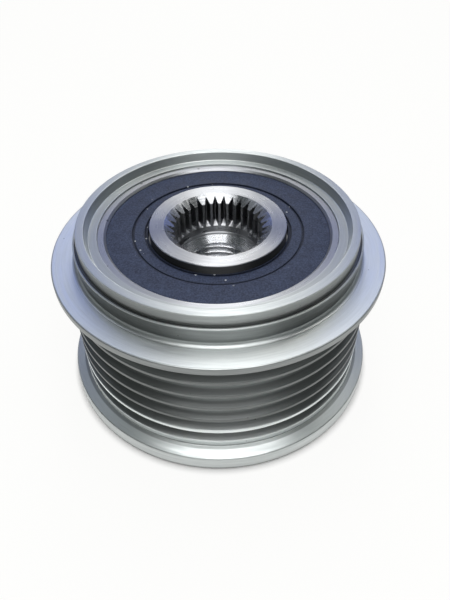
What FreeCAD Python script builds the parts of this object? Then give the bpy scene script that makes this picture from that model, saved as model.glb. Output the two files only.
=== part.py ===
import FreeCAD, Part
import math
import os

# Overrunning alternator pulley, in millimetres.
# The pulley's axis is Z. The origin is the centre of the hub's back face, which seats on the shaft.
# Radii build up from the shaft outwards, so each wall keeps its thickness when a size inside it changes.

# Shaft bore of the hub: the thread, at its core radius, and the wider pilot bore behind it
thread_radius = 7.19
pilot_step = 1.31
pilot_depth = 9.5
pilot_lead = 0.5

# Polished lead cone above the thread
cone_flare = 1.26
cone_height = 1.4
cone_collar = 0.35
floor_break = 0.2
socket_relief = 1.7

# Serrated tool socket in the hub's head
tooth_count = 33
tooth_depth = 1.4
tooth_flank_angle = 40.0
tooth_root_width = 0.12
tooth_length = 6.9
tooth_run_out = 30.0
socket_lead_width = 1.95
socket_lead_depth = 1.4
socket_turn = 6.6
cut_margin = 1.0

# Outside of the hub
socket_wall = 2.45
head_shoulder = 0.94
head_height = 3.11
hub_edge_break = 0.15
hub_back_chamfer = 0.4
hub_back_reach = 1.43

# Ball bearings: inner rings pressed onto the hub, outer rings pressed into the pulley ring
ball_count = 10
ball_radius = 3.969
ball_clearance = 0.1
race_wall = 1.431
race_conformity = 1.04
race_shoulder = 0.631
land_offset = 2.4
ring_end = 0.931
ring_chamfer = 0.4
ring_face_break = 0.15

# Ball cages: moulded crowns whose base ring faces the seal
cage_land_gap = 0.7
cage_pocket_gap = 0.15
cage_floor = 0.5
cage_grip = 1.5

# Seals
seal_back_gap = 0.24
seal_thickness = 1.5
seal_recess = 0.55
seal_seat_depth = 1.45
seal_lip_gap = 0.3
seal_lip_width = 0.25
seal_lip_line_width = 0.35
seal_inner_band = 2.15
seal_line_width = 0.3
seal_line_depth = 0.35
seal_inner_step = 0.15
seal_edge_break = 0.1

# Roller clutch between the bearings
roller_count = 10
roller_radius = 2.5
roller_clearance = 0.1
roller_side_gap = 0.2
clutch_width = 9.5
cam_wall = 2.17
wedge_angle = 7.0
clutch_cage_gap = 0.35
clutch_cage_end_gap = 0.3
clutch_cage_end_wall = 0.75
clutch_cage_pillar = 2.2
spring_leaf = 0.18
spring_folds = 4
spring_side_gap = 0.7
spring_reach = 0.9
spring_clearance = 0.05

# Belt profile of the pulley ring: V grooves of the common ribbed belt, between two flanges
rim_wall = 4.0
groove_count = 6
groove_pitch = 3.56
groove_angle = 40.0
groove_depth = 3.0
crest_width = 0.75
crest_round = 0.22
end_land = 0.7
flange_depth = 2.5
flange_face_slope = 20.0
front_flange_rim = 1.5
rear_flange_rim = 3.2
edge_break = 0.25

# Neck, shoulder and nose in front of the belt
neck_height = 4.0
nose_height = 2.26
nose_groove_width = 0.5
nose_groove_depth = 0.4
shoulder_land = 0.2
shoulder_break = 0.15
neck_undercut = 0.3
neck_fillet = 1.0

# Seat for a dust cap inside the nose
ledge_width = 1.73
cap_seat_flare = 0.47
cap_seat_depth = 1.83
nose_rim_width = 1.64
nose_rim_break = 0.15

# How far the front bearing lies inside the pulley ring
front_ring_recess = 0.35

# Radii worked out from the shaft outwards
pilot_radius = thread_radius + pilot_step
cone_mouth_radius = thread_radius + cone_flare
tooth_tip_radius = cone_mouth_radius + floor_break
tooth_root_radius = tooth_tip_radius + tooth_depth
socket_mouth_radius = tooth_tip_radius + socket_lead_width
bearing_bore_radius = tooth_root_radius + socket_wall
head_radius = bearing_bore_radius + head_shoulder
pitch_radius = bearing_bore_radius + race_wall + ball_clearance + ball_radius
inner_land_radius = pitch_radius - land_offset
outer_land_radius = pitch_radius + land_offset
bearing_outer_radius = pitch_radius + ball_radius + ball_clearance + race_wall
seal_radius = outer_land_radius + seal_seat_depth
groove_root_radius = bearing_outer_radius + rim_wall
crest_radius = groove_root_radius + groove_depth
flange_radius = crest_radius + flange_depth
cap_seat_foot_radius = bearing_outer_radius + ledge_width
cap_seat_mouth_radius = cap_seat_foot_radius + cap_seat_flare
nose_radius = cap_seat_mouth_radius + nose_rim_width
nose_groove_radius = nose_radius + nose_groove_width
neck_radius = nose_groove_radius + shoulder_land + shoulder_break
neck_foot_radius = neck_radius - neck_undercut

# The clutch's round section: rollers between the flats of the cam and the outer race
cam_flat_distance = bearing_bore_radius + cam_wall
cam_corner_radius = cam_flat_distance / math.cos(math.pi / roller_count)
roller_reach = roller_radius + roller_clearance
roller_pitch_radius = (cam_flat_distance + roller_reach) / math.cos(math.radians(wedge_angle))
roller_pitch = 2 * roller_pitch_radius * math.sin(math.pi / roller_count)
clutch_race_radius = roller_pitch_radius + roller_reach
clutch_window_length = roller_pitch - clutch_cage_pillar
clutch_window_start = roller_radius + roller_side_gap - clutch_window_length

# Heights of the bearings and the clutch, from the hub's back face up
inner_ring_width = race_shoulder + 2 * ball_radius + ring_end
outer_ring_width = inner_ring_width + seal_back_gap + seal_thickness + seal_recess
clutch_back = hub_back_reach + outer_ring_width
clutch_middle = clutch_back + clutch_width / 2
front_ring_back = clutch_back + clutch_width
front_ring_face = front_ring_back + outer_ring_width
ball_plane = front_ring_back + race_shoulder + ball_radius
seal_face = front_ring_face - seal_recess
roller_length = clutch_width - 2 * (clutch_cage_end_gap + clutch_cage_end_wall + roller_side_gap)

# Heights of the hub
head_back = front_ring_back + inner_ring_width
hub_front = head_back + head_height
socket_floor = hub_front - tooth_length
collar_top = socket_floor - socket_relief
cone_top = collar_top - cone_collar
thread_top = cone_top - cone_height

# Heights of the pulley ring, from the ledge over the front bearing: the nose up, the belt profile down
ledge = front_ring_face + front_ring_recess
nose_front = ledge + cap_seat_depth
shoulder = nose_front - nose_height
flange_front = shoulder - neck_height
flange_face_rise = flange_depth * math.tan(math.radians(flange_face_slope))
front_flange_foot = flange_front - front_flange_rim - flange_face_rise
grooves_end = front_flange_foot - end_land - crest_width / 2
grooves_start = grooves_end - groove_count * groove_pitch
rear_flange_foot = grooves_start - crest_width / 2 - end_land
pulley_back = rear_flange_foot - flange_face_rise - rear_flange_rim


def polygon(points, height):
    """Flat face at a height, given its (x, y) corners."""
    corners = [FreeCAD.Vector(x, y, height) for x, y in points]
    return Part.Face(Part.makePolygon(corners + [corners[0]]))


def polar(radius, angle):
    """(x, y) of a point given by its radius and its angle in radians."""
    return radius * math.cos(angle), radius * math.sin(angle)


def line(start, end):
    """Straight edge between two (radius, height) corners."""
    a = FreeCAD.Vector(start[0], 0, start[1])
    b = FreeCAD.Vector(end[0], 0, end[1])
    return Part.LineSegment(a, b).toShape()


def arc(start, middle, end):
    """Round edge through three (radius, height) points."""
    points = [FreeCAD.Vector(radius, 0, height) for radius, height in (start, middle, end)]
    return Part.Arc(*points).toShape()


def lines(corners):
    """Straight edges along an open row of (radius, height) corners."""
    return [line(a, b) for a, b in zip(corners, corners[1:])]


def turned(edges):
    """Full turn about Z of a closed outline of edges, given in order."""
    return Part.Face(Part.Wire(edges)).revolve(FreeCAD.Vector(), FreeCAD.Vector(0, 0, 1), 360)


def turned_corners(corners):
    """Full turn about Z of a closed outline given as (radius, height) corners."""
    return turned(lines(corners + [corners[0]]))


def solid_of(shape):
    """The one solid of a shape, checked to be a single closed one."""
    if len(shape.Solids) != 1 or not shape.isValid():
        raise ValueError("expected one valid solid")
    return shape.Solids[0]


def turned_round(shape, angle):
    """A copy of the shape, turned about Z by an angle in degrees."""
    copy = shape.copy()
    copy.rotate(FreeCAD.Vector(), FreeCAD.Vector(0, 0, 1), angle)
    return copy


def mirrored_to_rear(shape):
    """A piece of the front bearing, mirrored about the clutch's middle plane to the rear bearing."""
    return solid_of(shape.mirror(FreeCAD.Vector(0, 0, clutch_middle), FreeCAD.Vector(0, 0, 1)))


# Pulley ring

def rounded_corner(before, corner, after, radius):
    """First tangent point, middle and last tangent point of a round of a given radius at a corner."""
    c = FreeCAD.Vector(corner[0], 0, corner[1])
    to_before = (FreeCAD.Vector(before[0], 0, before[1]) - c).normalize()
    to_after = (FreeCAD.Vector(after[0], 0, after[1]) - c).normalize()
    half_angle = to_before.getAngle(to_after) / 2
    first = c + to_before * (radius / math.tan(half_angle))
    last = c + to_after * (radius / math.tan(half_angle))
    middle = c + (to_before + to_after).normalize() * (radius / math.sin(half_angle) - radius)
    return [(point.x, point.z) for point in (first, middle, last)]


def groove_corners(low):
    """The four corners of the groove that starts at a height: two at the crests, two at the root."""
    half_crest = crest_width / 2
    flank = groove_depth * math.tan(math.radians(groove_angle / 2))
    high = low + groove_pitch
    return [
        (crest_radius, low + half_crest),
        (groove_root_radius, low + half_crest + flank),
        (groove_root_radius, high - half_crest - flank),
        (crest_radius, high - half_crest),
    ]


def groove_edges():
    """The belt's band from the rear flange's foot to the front one's, with rounded crests."""
    edges = []
    at = (crest_radius, rear_flange_foot)
    for index in range(groove_count):
        low_crest, low_root, high_root, high_crest = groove_corners(grooves_start + index * groove_pitch)
        beyond = (crest_radius, high_crest[1] + crest_width)
        first, middle, last = rounded_corner(at, low_crest, low_root, crest_round)
        edges += [line(at, first), arc(first, middle, last), line(last, low_root), line(low_root, high_root)]
        first, middle, last = rounded_corner(high_root, high_crest, beyond, crest_round)
        edges += [line(high_root, first), arc(first, middle, last)]
        at = last
    edges.append(line(at, (crest_radius, front_flange_foot)))
    return edges


def rear_flange_corners():
    """From the bore over the back face and the flange's rim to the foot of its belt face."""
    rim_top = pulley_back + rear_flange_rim
    return [
        (bearing_outer_radius, pulley_back + ring_chamfer),
        (bearing_outer_radius + ring_chamfer, pulley_back),
        (flange_radius - edge_break, pulley_back),
        (flange_radius, pulley_back + edge_break),
        (flange_radius, rim_top - edge_break),
        (flange_radius - edge_break, rim_top),
        (crest_radius, rear_flange_foot),
    ]


def front_flange_corners():
    """From the foot of the front flange's belt face over its rim to the neck's fillet."""
    rim_back = flange_front - front_flange_rim
    return [
        (crest_radius, front_flange_foot),
        (flange_radius - edge_break, rim_back),
        (flange_radius, rim_back + edge_break),
        (flange_radius, flange_front - edge_break),
        (flange_radius - edge_break, flange_front),
        (neck_foot_radius + neck_fillet, flange_front),
    ]


def nose_corners():
    """From the neck's fillet over the shoulder, its groove and the nose to the cap seat and the bore."""
    groove_floor = shoulder - nose_groove_depth
    return [
        (neck_foot_radius, flange_front + neck_fillet),
        (neck_radius, shoulder - shoulder_break),
        (neck_radius - shoulder_break, shoulder),
        (nose_groove_radius, shoulder),
        (nose_groove_radius, groove_floor),
        (nose_radius, groove_floor),
        (nose_radius, nose_front - nose_rim_break),
        (nose_radius - nose_rim_break, nose_front),
        (cap_seat_mouth_radius + nose_rim_break, nose_front),
        (cap_seat_mouth_radius, nose_front - nose_rim_break),
        (cap_seat_foot_radius, ledge),
        (bearing_outer_radius, ledge),
    ]


def pulley_ring():
    """Steel ring turned in one piece, bored straight through for the bearings and the clutch."""
    rear = rear_flange_corners()
    front = front_flange_corners()
    nose = nose_corners()
    bend = neck_fillet * (1 - math.sqrt(0.5))
    fillet_middle = (neck_foot_radius + bend, flange_front + bend)
    edges = lines(rear) + groove_edges() + lines(front)
    edges.append(arc(front[-1], fillet_middle, nose[0]))
    edges += lines(nose + [rear[0]])
    return solid_of(turned(edges))


# Ball bearings

def raceway(side):
    """Torus that cuts the outer raceway (side 1) or the inner one (side -1), clear of the balls."""
    groove_radius = ball_radius * race_conformity
    centre_radius = pitch_radius + side * (ball_radius + ball_clearance - groove_radius)
    return Part.makeTorus(centre_radius, groove_radius, FreeCAD.Vector(0, 0, ball_plane))


def front_bearing_outer_ring():
    """Outer ring with its raceway, and the seal's seat in its front end."""
    seat_floor = seal_face - seal_thickness
    ring = turned_corners([
        (outer_land_radius, front_ring_back + ring_chamfer),
        (outer_land_radius + ring_chamfer, front_ring_back),
        (bearing_outer_radius - ring_chamfer, front_ring_back),
        (bearing_outer_radius, front_ring_back + ring_chamfer),
        (bearing_outer_radius, front_ring_face - ring_face_break),
        (bearing_outer_radius - ring_face_break, front_ring_face),
        (seal_radius + ring_chamfer, front_ring_face),
        (seal_radius, front_ring_face - ring_chamfer),
        (seal_radius, seat_floor),
        (outer_land_radius, seat_floor),
    ])
    return solid_of(ring.cut(raceway(1)))


def front_bearing_inner_ring():
    """Inner ring with its raceway, held between the hub's head and the clutch cam."""
    ring = turned_corners([
        (bearing_bore_radius, front_ring_back),
        (inner_land_radius - ring_chamfer, front_ring_back),
        (inner_land_radius, front_ring_back + ring_chamfer),
        (inner_land_radius, head_back - ring_chamfer),
        (inner_land_radius - ring_chamfer, head_back),
        (bearing_bore_radius, head_back),
    ])
    return solid_of(ring.cut(raceway(-1)))


def front_ball(index):
    """One ball of the front bearing."""
    ball = Part.makeSphere(ball_radius, FreeCAD.Vector(pitch_radius, 0, ball_plane))
    return solid_of(turned_round(ball, 360.0 * index / ball_count))


def front_ball_cage():
    """Moulded crown: a base ring on the seal's side, with a round pocket for each ball."""
    pocket_radius = ball_radius + cage_pocket_gap
    inner = inner_land_radius + cage_land_gap
    outer = outer_land_radius - cage_land_gap
    bottom = ball_plane - cage_grip
    top = ball_plane + pocket_radius + cage_floor
    crown = turned_corners([(inner, bottom), (outer, bottom), (outer, top), (inner, top)])
    pocket = Part.makeSphere(pocket_radius, FreeCAD.Vector(pitch_radius, 0, ball_plane))
    for index in range(ball_count):
        crown = crown.cut(turned_round(pocket, 360.0 * index / ball_count))
    return solid_of(crown)


# Seals

def seal(shaft_radius):
    """Rubber ring with a line round its face, and a fine line that parts off the lip beside the hub."""
    back = seal_face - seal_thickness
    inner_face = seal_face - seal_inner_step
    lip_radius = shaft_radius + seal_lip_gap
    lip_outer = lip_radius + seal_lip_width
    band_inner = lip_outer + seal_lip_line_width
    line_inner = band_inner + seal_inner_band
    line_outer = line_inner + seal_line_width
    return solid_of(turned_corners([
        (seal_radius, back),
        (seal_radius, seal_face - seal_edge_break),
        (seal_radius - seal_edge_break, seal_face),
        (line_outer, seal_face),
        (line_outer, seal_face - seal_line_depth),
        (line_inner, seal_face - seal_line_depth),
        (line_inner, inner_face),
        (band_inner, inner_face),
        (band_inner, inner_face - seal_line_depth),
        (lip_outer, inner_face - seal_line_depth),
        (lip_outer, inner_face),
        (lip_radius, inner_face),
        (lip_radius, back + seal_lip_width),
        (lip_outer, back),
    ]))


def front_seal():
    """Seal round the hub's head."""
    return seal(head_radius)


def rear_seal():
    """The same seal at the back, where its lip runs on the hub's bearing seat."""
    return mirrored_to_rear(seal(bearing_bore_radius))


# Roller clutch

def clutch_outer_race():
    """Plain hardened sleeve, pressed into the pulley ring between the bearings."""
    return solid_of(turned_corners([
        (clutch_race_radius, clutch_back),
        (bearing_outer_radius, clutch_back),
        (bearing_outer_radius, front_ring_back),
        (clutch_race_radius, front_ring_back),
    ]))


def clutch_cam():
    """Inner ring whose flats are the ramps on which the rollers wedge."""
    sector = 2 * math.pi / roller_count
    width = front_ring_back - clutch_back
    corners = [polar(cam_corner_radius, (index + 0.5) * sector) for index in range(roller_count)]
    cam = polygon(corners, clutch_back).extrude(FreeCAD.Vector(0, 0, width))
    bore = Part.makeCylinder(bearing_bore_radius, width, FreeCAD.Vector(0, 0, clutch_back))
    return solid_of(cam.cut(bore))


def roller_angle(index):
    """Angle of a roller in degrees: a wedge angle away from the middle of its flat."""
    return 360.0 * index / roller_count + wedge_angle


def clutch_roller(index):
    """One roller, with its end edges rounded."""
    end = roller_length / 2
    foot = FreeCAD.Vector(roller_pitch_radius, 0, clutch_middle - end)
    roller = Part.makeCylinder(roller_radius, roller_length, foot)
    end_edges = [edge for edge in roller.Edges if len(edge.Vertexes) == 1]
    rounded = roller.makeFillet(edge_break, end_edges)
    return solid_of(turned_round(rounded, roller_angle(index)))


def clutch_cage():
    """Moulded cage with a window for each roller and its spring."""
    inner = cam_corner_radius + clutch_cage_gap
    outer = clutch_race_radius - clutch_cage_gap
    bottom = clutch_back + clutch_cage_end_gap
    top = front_ring_back - clutch_cage_end_gap
    cage = turned_corners([(inner, bottom), (outer, bottom), (outer, top), (inner, top)])
    height = roller_length + 2 * roller_side_gap
    corner = FreeCAD.Vector(inner - cut_margin, clutch_window_start, clutch_middle - height / 2)
    window = Part.makeBox(outer - inner + 2 * cut_margin, clutch_window_length, height, corner)
    for index in range(roller_count):
        cage = cage.cut(turned_round(window, roller_angle(index)))
    return solid_of(cage)


def clutch_spring(index):
    """Folded leaf spring between its pillar and its roller, which it keeps against the ramp."""
    step = (-roller_radius - spring_clearance - clutch_window_start) / spring_folds
    half_leaf = spring_leaf / 2 * math.hypot(2 * spring_reach, step) / step
    folds = []
    for fold in range(spring_folds):
        side = -spring_reach if fold % 2 else spring_reach
        folds.append((roller_pitch_radius + side, clutch_window_start + fold * step))
    folds.append((roller_pitch_radius, clutch_window_start + spring_folds * step))
    outer = [(x + half_leaf, y) for x, y in folds]
    inner = [(x - half_leaf, y) for x, y in reversed(folds)]
    width = roller_length - 2 * spring_side_gap
    leaf = polygon(outer + inner, clutch_middle - width / 2).extrude(FreeCAD.Vector(0, 0, width))
    return solid_of(turned_round(leaf, roller_angle(index)))


# Hub

def hub_corners():
    """Outline from the back face up the outside, over the head and down the socket, cone and bores."""
    return [
        (pilot_radius + pilot_lead, 0),
        (bearing_bore_radius - hub_back_chamfer, 0),
        (bearing_bore_radius, hub_back_chamfer),
        (bearing_bore_radius, head_back),
        (head_radius, head_back),
        (head_radius, hub_front - hub_edge_break),
        (head_radius - hub_edge_break, hub_front),
        (socket_mouth_radius, hub_front),
        (tooth_tip_radius, hub_front - socket_lead_depth),
        (tooth_tip_radius, collar_top + floor_break),
        (cone_mouth_radius, collar_top),
        (cone_mouth_radius, cone_top),
        (thread_radius, thread_top),
        (thread_radius, pilot_depth + pilot_step),
        (pilot_radius, pilot_depth),
        (pilot_radius, pilot_lead),
    ]


def socket_cutter():
    """Star prism that leaves the socket's teeth standing: V grooves that run out in a cone at the floor."""
    sector = 2 * math.pi / tooth_count
    slope = math.tan(math.radians(tooth_flank_angle / 2))
    half_root = tooth_root_width / 2
    root_radius = math.hypot(half_root, tooth_root_radius)
    root_angle = math.atan2(half_root, tooth_root_radius)
    valley_x = (half_root + tooth_root_radius * slope) / (slope + math.tan(sector / 2))
    valley_radius = valley_x / math.cos(sector / 2)
    corners = []
    for index in range(tooth_count):
        angle = math.radians(socket_turn) + index * sector
        corners.append(polar(root_radius, angle - root_angle))
        corners.append(polar(root_radius, angle + root_angle))
        corners.append(polar(valley_radius, angle + sector / 2))
    rise = math.tan(math.radians(tooth_run_out))
    start = socket_floor - cut_margin * rise
    height = hub_front + cut_margin - start
    star = polygon(corners, start).extrude(FreeCAD.Vector(0, 0, height))
    narrow = tooth_tip_radius - cut_margin
    run_out = Part.makeCone(narrow, narrow + height / rise, height, FreeCAD.Vector(0, 0, start))
    return star.common(run_out)


def hub():
    """Hub in one piece: pilot bore, thread, polished cone and tool socket, with a head over the bearing."""
    return solid_of(turned_corners(hub_corners()).cut(socket_cutter()))


def all_pieces():
    """Every piece by its name."""
    pieces = {
        "pulley_ring": pulley_ring(),
        "hub": hub(),
        "front_bearing_outer_ring": front_bearing_outer_ring(),
        "front_bearing_inner_ring": front_bearing_inner_ring(),
        "front_ball_cage": front_ball_cage(),
        "front_seal": front_seal(),
        "rear_seal": rear_seal(),
        "clutch_outer_race": clutch_outer_race(),
        "clutch_cam": clutch_cam(),
        "clutch_cage": clutch_cage(),
    }
    for name in ("bearing_outer_ring", "bearing_inner_ring", "ball_cage"):
        pieces["rear_" + name] = mirrored_to_rear(pieces["front_" + name])
    for index in range(ball_count):
        ball = front_ball(index)
        pieces["front_ball_%02d" % (index + 1)] = ball
        pieces["rear_ball_%02d" % (index + 1)] = mirrored_to_rear(ball)
    for index in range(roller_count):
        pieces["clutch_roller_%02d" % (index + 1)] = clutch_roller(index)
        pieces["clutch_spring_%02d" % (index + 1)] = clutch_spring(index)
    return pieces


os.makedirs("parts", exist_ok=True)
for name, shape in all_pieces().items():
    shape.exportStep("parts/" + name + ".step")
    print(name, round(shape.Volume, 1))
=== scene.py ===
import math

import bmesh
import bpy
from mathutils import Matrix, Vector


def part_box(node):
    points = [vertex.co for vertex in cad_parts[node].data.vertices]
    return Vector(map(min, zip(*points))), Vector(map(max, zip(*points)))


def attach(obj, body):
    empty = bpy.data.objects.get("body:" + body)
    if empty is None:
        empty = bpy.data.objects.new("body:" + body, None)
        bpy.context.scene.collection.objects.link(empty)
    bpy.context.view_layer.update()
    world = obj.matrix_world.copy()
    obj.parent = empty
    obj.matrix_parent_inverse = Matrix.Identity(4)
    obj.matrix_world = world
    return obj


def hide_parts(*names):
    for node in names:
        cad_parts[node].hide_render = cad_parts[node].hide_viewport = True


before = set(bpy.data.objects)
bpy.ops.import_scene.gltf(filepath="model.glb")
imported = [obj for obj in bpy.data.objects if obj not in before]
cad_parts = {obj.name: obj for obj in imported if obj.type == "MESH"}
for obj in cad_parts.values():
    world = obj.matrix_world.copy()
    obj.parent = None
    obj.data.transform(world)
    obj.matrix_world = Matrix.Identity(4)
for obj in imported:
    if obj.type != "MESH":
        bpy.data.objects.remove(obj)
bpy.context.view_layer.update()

mm = 0.001


# The pulley ring is one steel turning: two flanges, six V grooves for a belt, a neck and a stepped nose.
# It is turned all over and left bare, so its faces keep the fine rings of the lathe tool.

def on_ring(vertex, radius, height):
    """True for a vertex on the ring of this radius and height about the axis."""
    tolerance = 0.002 * mm
    at_radius = abs(math.hypot(vertex.co.x, vertex.co.y) - radius) < tolerance
    return at_radius and abs(vertex.co.z - height) < tolerance


def select_rings(piece, corners):
    """Selects the edges of the rings that lie at these (radius, height) corners."""
    bpy.ops.mesh.select_mode(type="EDGE")
    bpy.ops.mesh.select_all(action="DESELECT")
    mesh = bmesh.from_edit_mesh(piece.data)
    for edge in mesh.edges:
        for radius, height in corners:
            if all(on_ring(vertex, radius, height) for vertex in edge.verts):
                edge.select = True
                break
    bmesh.update_edit_mesh(piece.data)


def weld():
    """Joins the vertices that lie on each other, in the whole piece."""
    bpy.ops.mesh.select_all(action="SELECT")
    bpy.ops.mesh.remove_doubles(threshold=0.001 * mm)


def carry_ring(corners):
    """Extrudes the selected ring from the first corner through all the others, scaling it on the way."""
    for (radius, height), (next_radius, next_height) in zip(corners, corners[1:]):
        rise = (0, 0, next_height - height)
        growth = next_radius / radius
        bpy.ops.mesh.extrude_edges_move(TRANSFORM_OT_translate={"value": rise})
        bpy.ops.transform.resize(value=(growth, growth, 1), center_override=(0, 0, 0))


def turned_piece(name, profile, sides):
    """Turns a closed profile of (radius, height) corners about the axis, and leaves it in edit mode."""
    bpy.ops.object.select_all(action="DESELECT")
    radius, height = profile[0]
    bpy.ops.mesh.primitive_circle_add(vertices=sides, radius=radius, location=(0, 0, height))
    piece = bpy.context.object
    piece.name = name
    piece.data.name = name
    bpy.ops.object.transform_apply(location=True)
    bpy.ops.object.mode_set(mode="EDIT")
    bpy.ops.mesh.select_all(action="SELECT")
    carry_ring(profile + profile[:1])
    weld()
    return piece


def round_rings(piece, corners, width, segments):
    """Bevels the ring edges at these corners, each by its distance to the new edges."""
    select_rings(piece, corners)
    bpy.ops.mesh.bevel(offset=width, segments=segments, affect="EDGES")


def finish_piece(piece, body, stands_for):
    """Closes the mesh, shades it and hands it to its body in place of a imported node."""
    bpy.ops.mesh.select_mode(type="VERT")
    weld()
    bpy.ops.mesh.normals_make_consistent(inside=False)
    bpy.ops.object.mode_set(mode="OBJECT")
    bpy.ops.object.shade_smooth_by_angle(angle=math.radians(32))
    weigh = piece.modifiers.new("flat_faces_stay_flat", "WEIGHTED_NORMAL")
    weigh.keep_sharp = True
    bpy.ops.object.modifier_apply(modifier=weigh.name)
    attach(piece, body)
    for name in stands_for:
        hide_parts(name)


ring_low, ring_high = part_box("pulley_ring")
outer_ring_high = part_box("front_bearing_outer_ring")[1]
flange_radius = ring_high.x
bore_radius = outer_ring_high.x
back = ring_low.z
nose_front = ring_high.z

flange_depth = 2.5 * mm
flange_slope = math.tan(math.radians(20))
front_rim_width = 1.5 * mm
rear_rim_width = 3.2 * mm
end_land = 0.7 * mm
groove_count = 6
groove_pitch = 3.56 * mm
groove_depth = 3.0 * mm
groove_flank_slope = math.tan(math.radians(20))
half_crest = 0.75 * mm / 2
neck_height = 4.0 * mm
neck_foot_radius = 27.89 * mm
neck_top_radius = 28.19 * mm
nose_height = 2.26 * mm
nose_radius = 27.34 * mm
nose_groove_radius = 27.84 * mm
nose_groove_depth = 0.4 * mm
cap_seat_depth = 1.83 * mm
cap_seat_mouth = 25.7 * mm
cap_seat_foot_radius = 25.23 * mm

ledge = nose_front - cap_seat_depth
shoulder = nose_front - nose_height
flange_front = shoulder - neck_height
crest_radius = flange_radius - flange_depth
root_radius = crest_radius - groove_depth
flange_face_rise = flange_depth * flange_slope
groove_flank = groove_depth * groove_flank_slope
front_rim_foot = flange_front - front_rim_width
front_foot = front_rim_foot - flange_face_rise
rear_rim_top = back + rear_rim_width
rear_foot = rear_rim_top + flange_face_rise
grooves_start = rear_foot + end_land + half_crest

rear_flange = [
    (bore_radius, back),
    (flange_radius, back),
    (flange_radius, rear_rim_top),
    (crest_radius, rear_foot),
]
crests = []
roots = []
belt_face = []
for index in range(groove_count):
    low = grooves_start + index * groove_pitch
    high = low + groove_pitch
    crests += [(crest_radius, low + half_crest), (crest_radius, high - half_crest)]
    roots += [
        (root_radius, low + half_crest + groove_flank),
        (root_radius, high - half_crest - groove_flank),
    ]
    belt_face += [crests[-2], roots[-2], roots[-1], crests[-1]]
front_flange = [
    (crest_radius, front_foot),
    (flange_radius, front_rim_foot),
    (flange_radius, flange_front),
]
neck_foot = (neck_foot_radius, flange_front)
neck_top = (neck_top_radius, shoulder)
nose_groove = [
    (nose_groove_radius, shoulder),
    (nose_groove_radius, shoulder - nose_groove_depth),
    (nose_radius, shoulder - nose_groove_depth),
]
nose_rim = [(nose_radius, nose_front), (cap_seat_mouth, nose_front)]
cap_seat_foot = (cap_seat_foot_radius, ledge)
bore_mouth = (bore_radius, ledge)

neck = [neck_foot, neck_top]
nose = nose_groove + nose_rim + [cap_seat_foot, bore_mouth]
ring = turned_piece("turned_pulley_ring", rear_flange + belt_face + front_flange + neck + nose, 360)
ring_roundings = [
    ([neck_foot], 1.0 * mm, 8),
    (rear_flange[1:3] + front_flange[1:], 0.25 * mm, 3),
    (nose_rim, 0.17 * mm, 3),
    (crests, 0.15 * mm, 3),
    (roots + [rear_flange[3], front_flange[0]], 0.1 * mm, 2),
    ([neck_top], 0.15 * mm, 3),
    ([cap_seat_foot], 0.2 * mm, 3),
    (nose_groove + [bore_mouth, rear_flange[0]], 0.05 * mm, 2),
]
for corners, width, segments in ring_roundings:
    round_rings(ring, corners, width, segments)
finish_piece(ring, "pulley", ["pulley_ring"])


def put(tree, kind, inputs=None, **settings):
    """Adds a shader node; an input takes a number, a colour, or the output to link."""
    made = tree.nodes.new(kind)
    for name, value in settings.items():
        setattr(made, name, value)
    for name, value in (inputs or {}).items():
        if isinstance(value, bpy.types.NodeSocket):
            tree.links.new(value, made.inputs[name])
        else:
            made.inputs[name].default_value = value
    return made


def maths(tree, operation, first, second=0.0, third=0.0):
    """Output of a Math node."""
    return put(tree, "ShaderNodeMath", {0: first, 1: second, 2: third}, operation=operation).outputs[0]


def between(tree, value, low, high, to_low=0.0, to_high=1.0):
    """A value's place between two limits, smoothed and clamped, as a number in another range."""
    ranged = put(
        tree,
        "ShaderNodeMapRange",
        {"Value": value, "From Min": low, "From Max": high, "To Min": to_low, "To Max": to_high},
        interpolation_type="SMOOTHSTEP",
    )
    return ranged.outputs["Result"]


def blend(tree, factor, first, second):
    """Output of a colour mix; each end takes a colour or the output to link."""
    mix = put(tree, "ShaderNodeMix", {"Factor": factor}, data_type="RGBA")
    for socket, value in ((6, first), (7, second)):
        if isinstance(value, bpy.types.NodeSocket):
            tree.links.new(value, mix.inputs[socket])
        else:
            mix.inputs[socket].default_value = (*value, 1)
    return mix.outputs[2]


def scaled(tree, vector, factor):
    """A colour or a vector times a number."""
    return put(tree, "ShaderNodeVectorMath", {0: vector, "Scale": factor}, operation="SCALE").outputs[0]


def darken(tree, colour, mask, share):
    """A colour less a share of itself where a mask is 1; a share below zero lightens it."""
    return scaled(tree, colour, maths(tree, "MULTIPLY_ADD", mask, -share, 1.0))


def about_axis(tree):
    """Radius and height in millimetres, and the vector from the axis, at each point of the piece."""
    place = put(tree, "ShaderNodeTexCoord").outputs["Object"]
    flat = put(tree, "ShaderNodeVectorMath", {0: place, 1: (1, 1, 0)}, operation="MULTIPLY").outputs[0]
    radius = put(tree, "ShaderNodeVectorMath", {0: flat}, operation="LENGTH").outputs["Value"]
    height = put(tree, "ShaderNodeSeparateXYZ", {0: place}).outputs["Z"]
    return maths(tree, "MULTIPLY", radius, 1000.0), maths(tree, "MULTIPLY", height, 1000.0), flat


def new_group(name, inputs, outputs):
    """A shader node group with its two ends; inputs are names with a default, outputs are names."""
    group = bpy.data.node_groups.new(name, "ShaderNodeTree")
    for socket_name, default in inputs.items():
        socket = group.interface.new_socket(socket_name, in_out="INPUT", socket_type="NodeSocketFloat")
        socket.default_value = default
    for socket_name in outputs:
        group.interface.new_socket(socket_name, in_out="OUTPUT", socket_type="NodeSocketFloat")
    return group, group.nodes.new("NodeGroupInput"), group.nodes.new("NodeGroupOutput")


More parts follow.
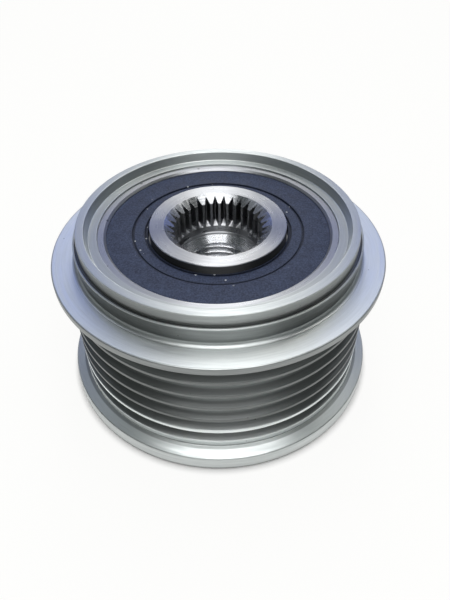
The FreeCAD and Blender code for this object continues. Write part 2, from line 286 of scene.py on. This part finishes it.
def lathe_marks():
    """Rings left by the tool about the axis: fine ridges, and broader bands that a few passes leave."""
    sizes = {"Pitch mm": 0.12, "Band mm": 0.7, "Arc break": 2.0}
    group, start, end = new_group("lathe_marks", sizes, ["Ridges", "Bands"])
    radius_mm, height_mm, flat = about_axis(group)
    along = maths(group, "MULTIPLY_ADD", height_mm, 0.83, radius_mm)
    around = put(group, "ShaderNodeVectorMath", {0: flat}, operation="NORMALIZE").outputs[0]
    arcs = scaled(group, around, start.outputs["Arc break"])
    ridge_step = maths(group, "DIVIDE", along, start.outputs["Pitch mm"])
    ridges = put(
        group,
        "ShaderNodeTexNoise",
        {"W": ridge_step, "Scale": 1.0, "Detail": 1.0, "Roughness": 0.5},
        noise_dimensions="1D",
    )
    band_step = maths(group, "DIVIDE", along, start.outputs["Band mm"])
    bands = put(
        group,
        "ShaderNodeTexNoise",
        {"Vector": arcs, "W": band_step, "Scale": 1.0, "Detail": 3.0, "Roughness": 0.65},
        noise_dimensions="4D",
    )
    group.links.new(ridges.outputs["Fac"], end.inputs["Ridges"])
    group.links.new(bands.outputs["Fac"], end.inputs["Bands"])
    return group


def fine_specks():
    """Sparse round marks, such as dust on rubber or small nicks in steel, as a mask."""
    sizes = {"Per mm": 1.0, "Size": 0.12, "Share": 0.2}
    group, start, end = new_group("fine_specks", sizes, ["Mask"])
    place = put(group, "ShaderNodeTexCoord").outputs["Object"]
    scale = maths(group, "MULTIPLY", start.outputs["Per mm"], 1000.0)
    cells = put(group, "ShaderNodeTexVoronoi", {"Vector": place, "Scale": scale}, feature="F1")
    pick = put(group, "ShaderNodeSeparateColor", {0: cells.outputs["Color"]}).outputs[0]
    chosen = maths(group, "LESS_THAN", pick, start.outputs["Share"])
    near = maths(group, "LESS_THAN", cells.outputs["Distance"], start.outputs["Size"])
    group.links.new(maths(group, "MULTIPLY", chosen, near), end.inputs["Mask"])
    return group


def turned_zone():
    """Mask of a band about the axis between two radii and two heights, with soft ends."""
    sizes = {"Inner mm": 0.0, "Outer mm": 1.0, "Bottom mm": 0.0, "Top mm": 1.0, "Soft mm": 0.1}
    group, start, end = new_group("turned_zone", sizes, ["Mask"])
    radius_mm, height_mm, _ = about_axis(group)
    soft = start.outputs["Soft mm"]
    mask = 1.0
    for value, low, high in (
        (radius_mm, start.outputs["Inner mm"], start.outputs["Outer mm"]),
        (height_mm, start.outputs["Bottom mm"], start.outputs["Top mm"]),
    ):
        past_low, past_high = maths(group, "ADD", low, soft), maths(group, "ADD", high, soft)
        above = between(group, value, maths(group, "SUBTRACT", low, soft), past_low)
        below = between(group, value, past_high, maths(group, "SUBTRACT", high, soft))
        mask = maths(group, "MULTIPLY", mask, maths(group, "MULTIPLY", above, below))
    group.links.new(mask, end.inputs["Mask"])
    return group


lathe_marks_group = lathe_marks()
fine_specks_group = fine_specks()
turned_zone_group = turned_zone()


def zone_mask(tree, radii_mm, heights, soft_mm):
    """Mask of a turned zone: its two radii in millimetres and its two heights in metres."""
    limits = {
        "Inner mm": radii_mm[0],
        "Outer mm": radii_mm[1],
        "Bottom mm": heights[0] / mm,
        "Top mm": heights[1] / mm,
        "Soft mm": soft_mm,
    }
    return put(tree, "ShaderNodeGroup", limits, node_tree=turned_zone_group).outputs["Mask"]


def new_material(name):
    """A material, with its node tree and its Principled shader."""
    material = bpy.data.materials.new(name)
    material.use_nodes = True
    return material, material.node_tree, material.node_tree.nodes["Principled BSDF"]


def add_bump(tree, shader, strength, distance, height):
    """Raises the shader's surface by a height."""
    bump = put(tree, "ShaderNodeBump", {"Strength": strength, "Distance": distance, "Height": height})
    tree.links.new(bump.outputs["Normal"], shader.inputs["Normal"])


few_pits = {"Per mm": 0.6, "Size": 0.07, "Share": 0.12}


def steel(name, dark, light, roughness, anisotropic, marks, painted_light=None, pits=few_pits):
    """Bare steel: bands of two greys that differ in roughness, fine ridges and pits.

    A zone of painted light is (radii in mm, heights, softness in mm, share darker, added roughness), under
    its name; a share above zero paints shade, below zero paints a highlight.
    """
    material, tree, shader = new_material(name)
    turned = put(tree, "ShaderNodeGroup", marks, node_tree=lathe_marks_group)
    pitted = put(tree, "ShaderNodeGroup", pits, node_tree=fine_specks_group).outputs["Mask"]
    tone = between(tree, turned.outputs["Bands"], 0.3, 0.7)
    colour = darken(tree, blend(tree, tone, dark, light), pitted, 0.55)
    rough = between(tree, turned.outputs["Bands"], 0.25, 0.75, roughness * 1.25, roughness * 0.85)
    # Each zone paints shade or a highlight into the colour, and may add roughness.
    for radii_mm, heights, soft_mm, darker, rougher in (painted_light or {}).values():
        here = zone_mask(tree, radii_mm, heights, soft_mm)
        colour = darken(tree, colour, here, darker)
        if rougher:
            rough = maths(tree, "MULTIPLY_ADD", here, rougher, rough)
    tree.links.new(colour, shader.inputs["Base Color"])
    tree.links.new(rough, shader.inputs["Roughness"])
    shader.inputs["Metallic"].default_value = 1.0
    shader.inputs["Anisotropic"].default_value = anisotropic
    shader.inputs["Anisotropic Rotation"].default_value = 0.25
    tangent = put(tree, "ShaderNodeTangent", direction_type="RADIAL", axis="Z")
    tree.links.new(tangent.outputs[0], shader.inputs["Tangent"])
    height = maths(tree, "SUBTRACT", turned.outputs["Ridges"], pitted)
    add_bump(tree, shader, 0.25, 0.006 * mm, height)
    return material


ribs_divide = rear_foot + 6.5 * mm
nose_groove_span = (shoulder - 0.5 * mm, shoulder - 0.02 * mm)
flange_front_span = (flange_front - 0.1 * mm, flange_front + 0.1 * mm)
rear_face_span = (rear_rim_top, rear_foot + 0.1 * mm)
# Painted shade darkens the nose's groove and wall, the neck, the ledge, the front rim, the belt grooves, the
# rear flange's foot and the rear rim's bottom where it meets the table; painted highlights lighten the front
# and rear flange faces, the cap seat and the lower crests.
ring_painted_light = {
    "nose groove": ((27.2, 27.95), nose_groove_span, 0.04, 0.2, 0.0),
    "nose wall": ((27.2, 27.5), (shoulder, nose_front - 0.15 * mm), 0.05, 0.4, 0.0),
    "neck": ((27.0, 28.4), (flange_front + 0.75 * mm, shoulder - 0.2 * mm), 0.15, 0.66, 0.0),
    "front flange face": ((28.9, 32.7), flange_front_span, 0.05, -0.47, 0.0),
    "front rim": ((32.9, 33.1), (flange_front - 1.4 * mm, flange_front - 0.1 * mm), 0.05, 0.5, 0.0),
    "ledge": ((23.6, 25.1), (ledge - 0.1 * mm, ledge + 0.1 * mm), 0.05, 0.2, 0.0),
    "cap seat": ((25.2, 25.8), (ledge + 0.2 * mm, nose_front - 0.2 * mm), 0.1, -0.2, 0.0),
    "upper ribs": ((29.0, 31.4), (ribs_divide, front_foot), 0.4, 0.67, 0.0),
    "lower ribs": ((28.9, 30.35), (rear_foot, ribs_divide), 0.2, 0.62, 0.0),
    "lower crests": ((30.4, 30.55), (rear_foot + 0.3 * mm, ribs_divide), 0.03, -0.65, 0.0),
    "rear flange foot": ((30.55, 31.1), rear_face_span, 0.1, 0.3, 0.0),
    "rear flange face": ((31.2, 32.8), rear_face_span, 0.1, -0.4, 0.0),
    "rear rim bottom": ((32.4, 33.4), (-1.0 * mm, 0.8 * mm), 0.3, 0.75, 0.0),
}
ring_steel = steel(
    "ring_steel",
    dark=(0.54, 0.57, 0.565),
    light=(0.61, 0.64, 0.635),
    roughness=0.36,
    anisotropic=0.6,
    marks={"Pitch mm": 0.11, "Band mm": 0.45, "Arc break": 3.0},
    painted_light=ring_painted_light,
)
ring.data.materials.append(ring_steel)


# The hub is a hardened steel turning with a broached socket of 33 teeth, a polished cone and a thread.
# A serrated tool grips it by the socket while a hex key grips the shaft that it screws onto.

hub_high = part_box("hub")[1]
hub_front = hub_high.z
head_radius = hub_high.x
inner_ring_wall = 3.1 * mm
seat_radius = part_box("front_bearing_inner_ring")[1].x - inner_ring_wall

head_height = 3.11 * mm
tooth_count = 33
tooth_depth = 1.4 * mm
tooth_length = 6.9 * mm
tooth_flank_slope = math.tan(math.radians(20))
run_out_slope = math.tan(math.radians(30))
tip_radius = 8.65 * mm
bottom_half_width = 0.06 * mm
socket_turn = math.radians(6.6)
mouth_radius = 10.6 * mm
lead_depth = 1.4 * mm
relief_depth = 1.7 * mm
floor_break = 0.2 * mm
collar_height = 0.35 * mm
cone_height = 1.4 * mm
cone_radius = 8.45 * mm
thread_radius = 8.0 * mm
core_radius = 7.19 * mm
thread_lead = 0.15 * mm
thread_lead_foot = 0.62 * mm
pilot_radius = 8.5 * mm
pilot_depth = 9.5 * mm
pilot_lead = 0.5 * mm
back_chamfer = 0.4 * mm

head_back = hub_front - head_height
socket_floor = hub_front - tooth_length
lead_foot = hub_front - lead_depth
collar_top = socket_floor - relief_depth
cone_top = collar_top - collar_height
thread_top = cone_top - cone_height


def draw_path(name, points):
    """Starts a piece as a chain of edges through these points, and leaves it in edit mode."""
    bpy.ops.object.select_all(action="DESELECT")
    bpy.ops.mesh.primitive_plane_add(size=1 * mm, location=points[0])
    piece = bpy.context.object
    piece.name = name
    piece.data.name = name
    bpy.ops.object.transform_apply(location=True)
    bpy.ops.object.mode_set(mode="EDIT")
    bpy.ops.mesh.select_all(action="SELECT")
    bpy.ops.mesh.merge(type="CENTER")
    for start, end in zip(points, points[1:]):
        step = [b - a for a, b in zip(start, end)]
        bpy.ops.mesh.extrude_vertices_move(TRANSFORM_OT_translate={"value": step})
    return piece


def select_level(piece, bottom, top):
    """Selects the edges that lie between two heights."""
    bpy.ops.mesh.select_mode(type="EDGE")
    bpy.ops.mesh.select_all(action="DESELECT")
    mesh = bmesh.from_edit_mesh(piece.data)
    for edge in mesh.edges:
        edge.select = all(bottom < vertex.co.z < top for vertex in edge.verts)
    bmesh.update_edit_mesh(piece.data)


def move_ring(piece, radius, height, growth, rise):
    """Selects the vertices at a radius and height, scales them about the axis and lifts them."""
    bpy.ops.mesh.select_mode(type="VERT")
    bpy.ops.mesh.select_all(action="DESELECT")
    mesh = bmesh.from_edit_mesh(piece.data)
    for vertex in mesh.verts:
        vertex.select = on_ring(vertex, radius, height)
    mesh.select_flush_mode()
    bmesh.update_edit_mesh(piece.data)
    bpy.ops.transform.resize(value=(growth, growth, 1), center_override=(0, 0, 0))
    bpy.ops.transform.translate(value=(0, 0, rise))


# One groove of the socket in plan: half a tooth's tip, a flank, the narrow bottom and the other flank.
groove_bottom = tip_radius + tooth_depth
bottom_angle = math.atan2(bottom_half_width, groove_bottom)
bottom_radius = math.hypot(bottom_half_width, groove_bottom)
flank_reach = bottom_half_width + groove_bottom * tooth_flank_slope
flank_stretch = 1 + tooth_flank_slope ** 2
to_tip = math.sqrt(tip_radius ** 2 * flank_stretch - flank_reach ** 2)
tip_x = (flank_reach * tooth_flank_slope + to_tip) / flank_stretch
tip_angle = math.acos(tip_x / tip_radius)
middle_x = (tip_x + groove_bottom) / 2
middle_y = flank_reach - middle_x * tooth_flank_slope
middle_radius = math.hypot(middle_x, middle_y)
half_groove = [
    (tip_radius, math.pi / tooth_count),
    (tip_radius, tip_angle),
    (middle_radius, math.atan2(middle_y, middle_x)),
    (bottom_radius, bottom_angle),
]
first_half = [(radius, socket_turn - angle) for radius, angle in half_groove]
second_half = [(radius, socket_turn + angle) for radius, angle in reversed(half_groove)]
one_groove = [
    (radius * math.cos(angle), radius * math.sin(angle), socket_floor)
    for radius, angle in first_half + second_half
]
hub = draw_path("broached_hub", one_groove)
bpy.ops.mesh.select_all(action="SELECT")
bpy.ops.mesh.spin(steps=tooth_count, dupli=True, angle=2 * math.pi, center=(0, 0, 0), axis=(0, 0, 1))
weld()

# The grooves rise to the cone of the lead-in, and their feet run out up a shallow cone.
lead_slope = lead_depth / (mouth_radius - tip_radius)
bpy.ops.mesh.select_all(action="SELECT")
bpy.ops.mesh.extrude_edges_move(TRANSFORM_OT_translate={"value": (0, 0, lead_foot - socket_floor)})
for radius in (middle_radius, bottom_radius):
    move_ring(hub, radius, lead_foot, 1.0, (radius - tip_radius) * lead_slope)
    move_ring(hub, radius, socket_floor, 1.0, (radius - tip_radius) * run_out_slope)
select_level(hub, lead_foot - 0.002 * mm, hub_front)
bpy.ops.mesh.extrude_edges_move(TRANSFORM_OT_translate={"value": (0, 0, lead_depth)})
for radius in (tip_radius, middle_radius, bottom_radius):
    rise = (radius - tip_radius) * lead_slope
    move_ring(hub, radius, hub_front + rise, mouth_radius / radius, -rise)
select_level(hub, 0, socket_floor + tooth_depth)
bpy.ops.mesh.extrude_edges_move(TRANSFORM_OT_translate={"value": (0, 0, -lead_depth)})
for radius in (tip_radius, middle_radius, bottom_radius):
    rise = (radius - tip_radius) * run_out_slope
    move_ring(hub, radius, socket_floor + rise - lead_depth, tip_radius / radius, lead_depth - rise)
weld()

inside = [
    (tip_radius, socket_floor),
    (tip_radius, collar_top + floor_break),
    (cone_radius, collar_top),
    (cone_radius, cone_top),
    (core_radius, thread_top),
    (core_radius, thread_top - thread_lead),
    (thread_radius, thread_top - thread_lead_foot),
    (thread_radius, pilot_depth + pilot_lead),
    (pilot_radius, pilot_depth),
    (pilot_radius, pilot_lead),
    (pilot_radius + pilot_lead, 0),
    (seat_radius - back_chamfer, 0),
]
outside = [
    (mouth_radius, hub_front),
    (head_radius, hub_front),
    (head_radius, head_back),
    (seat_radius, head_back),
    (seat_radius, back_chamfer),
    (seat_radius - back_chamfer, 0),
]
for corners in (inside, outside):
    select_rings(hub, corners[:1])
    carry_ring(corners)
weld()
round_rings(hub, outside[1:3], 0.15 * mm, 3)
bpy.ops.mesh.select_all(action="DESELECT")
bpy.ops.mesh.edges_select_sharp(sharpness=math.radians(28))
bpy.ops.mesh.bevel(offset=0.035 * mm, segments=2, affect="EDGES", clamp_overlap=True)
finish_piece(hub, "hub", ["hub"])

teeth_foot = socket_floor + 0.8 * mm
hub_face_span = (hub_front - 0.1 * mm, hub_front + 0.1 * mm)
# Painted shade darkens the socket's teeth and collar, the face, the lead-in and the head's side; a painted
# highlight lightens the cone.
hub_painted_light = {
    "teeth": ((8.0, 10.3), (teeth_foot, lead_foot + 0.1 * mm), 0.1, 0.6, 0.0),
    "face": ((10.65, 13.4), hub_face_span, 0.04, 0.12, 0.0),
    "lead-in": ((8.0, 10.7), (lead_foot + 0.1 * mm, hub_front - 0.05 * mm), 0.05, 0.1, -0.13),
    "collar": ((8.0, 8.7), (collar_top + 0.3 * mm, teeth_foot), 0.1, 0.4, 0.0),
    "cone": ((6.9, 8.4), (thread_top - 4.0 * mm, cone_top - 0.05 * mm), 0.1, -0.55, -0.06),
    "head's side": ((13.2, 13.6), (head_back, hub_front - 0.2 * mm), 0.05, 0.84, 0.4),
}
hub_steel = steel(
    "hub_steel",
    dark=(0.53, 0.54, 0.56),
    light=(0.61, 0.62, 0.64),
    roughness=0.29,
    anisotropic=1.0,
    marks={"Pitch mm": 0.2, "Band mm": 0.5, "Arc break": 2.0},
    painted_light=hub_painted_light,
)
hub.data.materials.append(hub_steel)


# The shaft's thread in the hub is M16 with a pitch of 1.5 mm, cut below the cone.
# Its ridge is one long V wound up the bore, and the first crests show through the socket.

pitch = 1.5 * mm
ridge_foot = 0.65 * mm
ridge_crest = 0.19 * mm
sunk = 0.02 * mm
turns = 9
steps_a_turn = 96
thread_start = thread_top - 0.1 * mm - turns * pitch
ridge_section = [
    (thread_radius + sunk, 0, thread_start - ridge_foot),
    (core_radius, 0, thread_start - ridge_crest),
    (core_radius, 0, thread_start + ridge_crest),
    (thread_radius + sunk, 0, thread_start + ridge_foot),
]
thread = draw_path("hub_thread", ridge_section + ridge_section[:1])
weld()
bpy.ops.object.mode_set(mode="OBJECT")
screw = thread.modifiers.new("wind_up_the_bore", "SCREW")
screw.angle = 2 * math.pi
screw.screw_offset = pitch
screw.iterations = turns
screw.steps = steps_a_turn
screw.render_steps = steps_a_turn
screw.use_merge_vertices = False
bpy.ops.object.modifier_apply(modifier=screw.name)
bpy.ops.object.mode_set(mode="EDIT")
bpy.ops.mesh.select_mode(type="EDGE")
bpy.ops.mesh.select_all(action="DESELECT")
bpy.ops.mesh.select_non_manifold()
bpy.ops.mesh.edge_face_add()
finish_piece(thread, "hub", [])
thread.data.materials.append(hub_steel)


# Each bearing's outer ring is ground steel with a raceway in its bore, pressed into the pulley ring.
# Only its narrow end face and chamfer show, between the ledge and the rubber seal.

ring_chamfer = 0.4 * mm
outer_ring_width = 11.79 * mm
seat_depth = 2.05 * mm
seal_radius = 21.85 * mm
land_radius = 20.4 * mm
pitch_radius = 18.0 * mm
ball_radius = 3.969 * mm
ball_clearance = 0.1 * mm
ball_depth = 7.19 * mm
race_radius = ball_radius * 1.04
race_centre = pitch_radius + ball_radius + ball_clearance - race_radius
race_half_angle = math.acos((land_radius - race_centre) / race_radius)
race_steps = 12


def outer_ring(name, face, inward, node):
    """Bearing outer ring whose seal end is at a height; inward is the way into the pulley, +1 or -1."""
    raceway = []
    for step in range(race_steps + 1):
        angle = race_half_angle * (2 * step / race_steps - 1)
        depth = ball_depth + race_radius * math.sin(angle)
        raceway.append((race_centre + race_radius * math.cos(angle), face + inward * depth))
    corners = [
        (land_radius, face + inward * outer_ring_width),
        (bore_radius, face + inward * outer_ring_width),
        (bore_radius, face),
        (seal_radius, face),
        (seal_radius, face + inward * seat_depth),
        (land_radius, face + inward * seat_depth),
    ]
    piece = turned_piece(name, corners + raceway, 240)
    round_rings(piece, corners[:2] + corners[3:4], ring_chamfer, 1)
    round_rings(piece, corners[2:3], 0.12 * mm, 3)
    finish_piece(piece, "pulley", [node])
    return piece


front_face = outer_ring_high.z
rear_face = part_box("rear_bearing_outer_ring")[0].z
front_outer_ring = outer_ring("ground_front_outer_ring", front_face, -1, "front_bearing_outer_ring")
rear_outer_ring = outer_ring("ground_rear_outer_ring", rear_face, 1, "rear_bearing_outer_ring")
bearing_steel = steel(
    "bearing_steel",
    dark=(0.41, 0.42, 0.44),
    light=(0.48, 0.49, 0.51),
    roughness=0.3,
    anisotropic=0.85,
    marks={"Pitch mm": 0.07, "Band mm": 0.25, "Arc break": 2.0},
    pits={"Per mm": 0.9, "Size": 0.26, "Share": 0.09},
)
for piece in (front_outer_ring, rear_outer_ring):
    piece.data.materials.append(bearing_steel)


# The seals are black rubber, moulded on a steel washer, with a fine line round the face.
# They snap into the outer rings, and a thin lip stands close beside the hub.

lip_gap = 0.3 * mm
lip_width = 0.25 * mm
lip_line_width = 0.35 * mm
inner_band_width = 2.15 * mm
inner_step = 0.15 * mm
line_width = 0.3 * mm
line_depth = 0.35 * mm
seal_thickness = 1.5 * mm


def seal(name, face, inward, shaft_radius, node):
    """Rubber ring whose outer face is at a height; inward is the way into the bearing, +1 or -1."""
    lip = shaft_radius + lip_gap
    lip_outer = lip + lip_width
    band_inner = lip_outer + lip_line_width
    line_inner = band_inner + inner_band_width
    line_outer = line_inner + line_width
    inner_face = face + inward * inner_step
    lip_line_floor = inner_face + inward * line_depth
    under = face + inward * seal_thickness
    corners = [
        (seal_radius, under),
        (seal_radius, face),
        (line_outer, face),
        (line_outer, face + inward * line_depth),
        (line_inner, face + inward * line_depth),
        (line_inner, inner_face),
        (band_inner, inner_face),
        (band_inner, lip_line_floor),
        (lip_outer, lip_line_floor),
        (lip_outer, inner_face),
        (lip, inner_face),
        (lip, under - inward * lip_width),
        (lip_outer, under),
    ]
    piece = turned_piece(name, corners, 240)
    round_rings(piece, corners[1:2], 0.1 * mm, 3)
    round_rings(piece, corners[2:3] + corners[5:7] + corners[9:11], 0.08 * mm, 3)
    finish_piece(piece, "pulley", [node])
    return piece


front_seal = seal("moulded_front_seal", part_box("front_seal")[1].z, -1, head_radius, "front_seal")
rear_seal = seal("moulded_rear_seal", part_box("rear_seal")[0].z, 1, seat_radius, "rear_seal")

whole_height = (-1 * mm, 40 * mm)
lip_gap_painted_shade = ((13.6, 14.5), 0.55)
line_groove_painted_shade = ((16.35, 16.95), 0.5)
dusty_radii = (13.8, 17.2)
black = (0.013, 0.018, 0.040)
worn_black = (0.044, 0.060, 0.112)
dust_grey = (0.55, 0.58, 0.62)


def rubber(name):
    """Black rubber with a blue cast: mottled, faintly rough, with painted shade at the lip's gap and in the
    face's line, and pale dust in places.
    """
    material, tree, shader = new_material(name)
    place = put(tree, "ShaderNodeTexCoord").outputs["Object"]
    cloud_sizes = {"Vector": place, "Scale": 420.0, "Detail": 8.0, "Roughness": 0.85}
    clouds = put(tree, "ShaderNodeTexNoise", cloud_sizes).outputs["Fac"]
    grain_sizes = {"Vector": place, "Scale": 3200.0, "Detail": 3.0, "Roughness": 0.7}
    grain = put(tree, "ShaderNodeTexNoise", grain_sizes).outputs["Fac"]
    mixed = maths(tree, "MULTIPLY_ADD", grain, 0.6, maths(tree, "MULTIPLY", clouds, 0.4))
    shade = blend(tree, between(tree, mixed, 0.36, 0.64), black, worn_black)
    # Painted shade in the gap beside the lip and in the line round the face.
    for radii_mm, darker in (lip_gap_painted_shade, line_groove_painted_shade):
        shade = darken(tree, shade, zone_mask(tree, radii_mm, whole_height, 0.12), darker)
    dust_sizes = {"Per mm": 1.5, "Size": 0.3, "Share": 0.06}
    dust = put(tree, "ShaderNodeGroup", dust_sizes, node_tree=fine_specks_group).outputs["Mask"]
    crumbs = maths(tree, "MULTIPLY", dust, zone_mask(tree, dusty_radii, whole_height, 0.8))
    shade = blend(tree, maths(tree, "MULTIPLY", crumbs, 0.7), shade, dust_grey)
    tree.links.new(shade, shader.inputs["Base Color"])
    tree.links.new(between(tree, clouds, 0.3, 0.7, 0.42, 0.6), shader.inputs["Roughness"])
    shader.inputs["Specular IOR Level"].default_value = 0.25
    add_bump(tree, shader, 0.5, 0.03 * mm, maths(tree, "MULTIPLY_ADD", clouds, 0.6, grain))
    return material


seal_rubber = rubber("seal_rubber")
for piece in (front_seal, rear_seal):
    piece.data.materials.append(seal_rubber)


# Inside, out of sight, are the inner rings, balls and cages, and the clutch's race, cam, rollers and springs.
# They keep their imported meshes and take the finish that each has.

rolling_steel = steel(
    "rolling_steel",
    dark=(0.78, 0.79, 0.80),
    light=(0.84, 0.85, 0.86),
    roughness=0.08,
    anisotropic=0.0,
    marks={"Pitch mm": 0.05, "Band mm": 1.2, "Arc break": 6.0},
)
spring_steel = steel(
    "spring_steel",
    dark=(0.42, 0.40, 0.36),
    light=(0.56, 0.54, 0.50),
    roughness=0.28,
    anisotropic=0.2,
    marks={"Pitch mm": 0.05, "Band mm": 0.5, "Arc break": 8.0},
)
pale_nylon = (0.55, 0.49, 0.36)
deep_nylon = (0.42, 0.36, 0.25)


def plastic(name):
    """Glass-filled nylon of the cages: pale, faintly mottled, with a dull skin."""
    material, tree, shader = new_material(name)
    place = put(tree, "ShaderNodeTexCoord").outputs["Object"]
    fibre_sizes = {"Vector": place, "Scale": 900.0, "Detail": 5.0, "Roughness": 0.6}
    fibres = put(tree, "ShaderNodeTexNoise", fibre_sizes).outputs["Fac"]
    colour = blend(tree, between(tree, fibres, 0.35, 0.65), deep_nylon, pale_nylon)
    tree.links.new(colour, shader.inputs["Base Color"])
    tree.links.new(between(tree, fibres, 0.3, 0.7, 0.4, 0.55), shader.inputs["Roughness"])
    add_bump(tree, shader, 0.3, 0.02 * mm, fibres)
    return material


cage_plastic = plastic("cage_plastic")
finishes = {
    "bearing_inner_ring": bearing_steel,
    "ball_cage": cage_plastic,
    "clutch_cage": cage_plastic,
    "clutch_outer_race": bearing_steel,
    "clutch_cam": bearing_steel,
    "clutch_spring": spring_steel,
    "ball_": rolling_steel,
    "clutch_roller": rolling_steel,
}
for name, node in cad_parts.items():
    for part_of_name, material in finishes.items():
        if part_of_name in name:
            node.data.materials.clear()
            node.data.materials.append(material)
            break


# The pulley stands on a plain white table, which runs well past the view.
# Only the soft dark line where the pulley touches the table shows.

def any_ray(tree, *kinds):
    """1 for a ray of any of these kinds, and else 0."""
    path = put(tree, "ShaderNodeLightPath")
    found = path.outputs[kinds[0]]
    for kind in kinds[1:]:
        found = maths(tree, "MAXIMUM", found, path.outputs[kind])
    return found


contact_width = 1.4 * mm
most_glow = 0.88
white = (1, 1, 0.99, 1)

bpy.ops.object.select_all(action="DESELECT")
bpy.ops.mesh.primitive_plane_add(size=4.0, location=(0, 0, 0))
floor = bpy.context.object
floor.name = "floor"
floor_white = bpy.data.materials.new("floor_white")
floor_white.use_nodes = True
tree = floor_white.node_tree
tree.nodes.clear()
paper = put(tree, "ShaderNodeBsdfDiffuse", {"Color": (0.9, 0.9, 0.89, 1)})
glow = put(tree, "ShaderNodeEmission", {"Color": white, "Strength": 1.0})
seen = any_ray(tree, "Is Camera Ray", "Is Transmission Ray", "Is Glossy Ray")
ground = put(tree, "ShaderNodeTexCoord").outputs["Object"]
from_axis = put(tree, "ShaderNodeVectorMath", {0: ground}, operation="LENGTH").outputs["Value"]
clear_of_pulley = between(tree, from_axis, flange_radius, flange_radius + contact_width, 0.0, most_glow)
share = maths(tree, "MULTIPLY", seen, clear_of_pulley)
mixed = put(tree, "ShaderNodeMixShader", {0: share, 1: paper.outputs[0], 2: glow.outputs[0]})
put(tree, "ShaderNodeOutputMaterial", {"Surface": mixed.outputs[0]})
floor.data.materials.append(floor_white)


# The light is soft daylight: a plain pale world, and lamps behind and above the pulley.
# Steel mirrors a room in place of the plain world: dim and cool, with a bright ceiling and one pane.

world = bpy.data.worlds.new("daylight")
bpy.context.scene.world = world
world.use_nodes = True
tree = world.node_tree
tree.nodes.clear()
way = put(tree, "ShaderNodeTexCoord").outputs["Generated"]
parts = put(tree, "ShaderNodeSeparateXYZ", {0: way})
right, away, up = parts.outputs["X"], parts.outputs["Y"], parts.outputs["Z"]
beside = maths(tree, "ABSOLUTE", right)

dark_front = (0.08, 0.09, 0.09)
dark_back = (0.10, 0.12, 0.20)
dark_side = (0.10, 0.11, 0.13)
dark_low = (0.10, 0.11, 0.14)
blue_window = (0.32, 0.395, 0.78)
left_ceiling = (0.82, 0.87, 0.95)
right_ceiling = (1.7, 1.72, 1.7)
pane_white = (2.5, 2.45, 2.35)

# The room by the way a reflection goes, as the parts of its direction to the right, away and up.
ceiling = blend(tree, between(tree, right, -0.1, 0.3), left_ceiling, right_ceiling)
far_wall = blend(tree, between(tree, up, 0.22, 0.4), dark_low, blue_window)
room_colour = blend(tree, between(tree, away, 0.4, 0.7), ceiling, far_wall)
room_colour = blend(tree, between(tree, beside, 0.5, 0.62), room_colour, dark_side)
room_colour = blend(tree, between(tree, beside, 0.14, 0.32), dark_back, room_colour)
room_colour = blend(tree, between(tree, away, 0.14, 0.27), dark_front, room_colour)
pane = 1.0
for way_there, low, high, at_low, at_high in (
    (right, 0.12, 0.2, 0.0, 1.0),
    (right, 0.37, 0.44, 1.0, 0.0),
    (away, 0.17, 0.26, 0.0, 1.0),
    (away, 0.45, 0.55, 1.0, 0.0),
):
    pane = maths(tree, "MULTIPLY", pane, between(tree, way_there, low, high, at_low, at_high))
room_colour = blend(tree, pane, room_colour, pane_white)

# A slot above and behind stays open to the plain world, and keeps each face's front and back bright.
above_camera = maths(tree, "MULTIPLY_ADD", away, 0.77, maths(tree, "MULTIPLY", up, 0.64))
opening = between(tree, beside, 0.08, 0.14, 1.0, 0.0)
opening = maths(tree, "MULTIPLY", opening, between(tree, above_camera, -0.1, 0.2))
mirrored = any_ray(tree, "Is Glossy Ray")
closed = maths(tree, "MULTIPLY", mirrored, maths(tree, "SUBTRACT", 1.0, opening))
room = put(tree, "ShaderNodeBackground", {"Color": room_colour, "Strength": 1.0})
plain = put(tree, "ShaderNodeBackground", {"Color": (1, 1, 1, 1), "Strength": 0.58})
lit = put(tree, "ShaderNodeMixShader", {0: closed, 1: plain.outputs[0], 2: room.outputs[0]})
backdrop = put(tree, "ShaderNodeBackground", {"Color": white, "Strength": 1.0})
seen = any_ray(tree, "Is Camera Ray", "Is Transmission Ray")
chosen = put(tree, "ShaderNodeMixShader", {0: seen, 1: lit.outputs[0], 2: backdrop.outputs[0]})
put(tree, "ShaderNodeOutputWorld", {"Surface": chosen.outputs[0]})


def add_lamp(name, width, length, radiance, azimuth, elevation):
    """Area lamp that faces the pulley from a direction in degrees; its length runs up and down."""
    distance = 0.6
    lamp_data = bpy.data.lights.new(name, "AREA")
    lamp_data.shape = "RECTANGLE"
    lamp_data.size = width
    lamp_data.size_y = length
    lamp_data.energy = radiance * math.pi * width * length
    lamp = bpy.data.objects.new(name, lamp_data)
    bpy.context.scene.collection.objects.link(lamp)
    turn = Matrix.Rotation(math.radians(azimuth - 90), 4, "Z")
    tilt = Matrix.Rotation(math.radians(elevation - 90), 4, "X")
    lamp.matrix_world = turn @ tilt @ Matrix.Translation((0, 0, distance))


add_lamp("window", width=0.15, length=0.44, radiance=2.0, azimuth=90, elevation=60)
add_lamp("window_foot", width=0.15, length=0.23, radiance=2.0, azimuth=90, elevation=19)
add_lamp("ceiling_light", width=0.45, length=0.25, radiance=2.3, azimuth=275, elevation=80)
add_lamp("far_ceiling_light", width=0.47, length=0.2, radiance=2.8, azimuth=275, elevation=52)


# The camera is the photograph's, worked out from the circles of the flange, the nose and the hub.
# It stands close in front of the pulley and looks down at it, so the circles behind look flatter.

camera_place = Matrix.Translation((1.15 * mm, -88.0 * mm, 97.1 * mm))
camera_pitch = Matrix.Rotation(math.radians(90 - 43.18), 4, "X")
camera_yaw = Matrix.Rotation(math.radians(-0.03), 4, "Y")
camera_roll = Matrix.Rotation(math.radians(-0.605), 4, "Z")
camera_data = bpy.data.cameras.new("camera")
camera_data.lens = 32.7
camera_data.sensor_width = 36.0
camera_data.clip_start = 0.001
camera = bpy.data.objects.new("camera", camera_data)
bpy.context.scene.collection.objects.link(camera)
camera.matrix_world = camera_place @ camera_pitch @ camera_yaw @ camera_roll
bpy.context.scene.camera = camera
bpy.context.scene.view_settings.view_transform = "Standard"
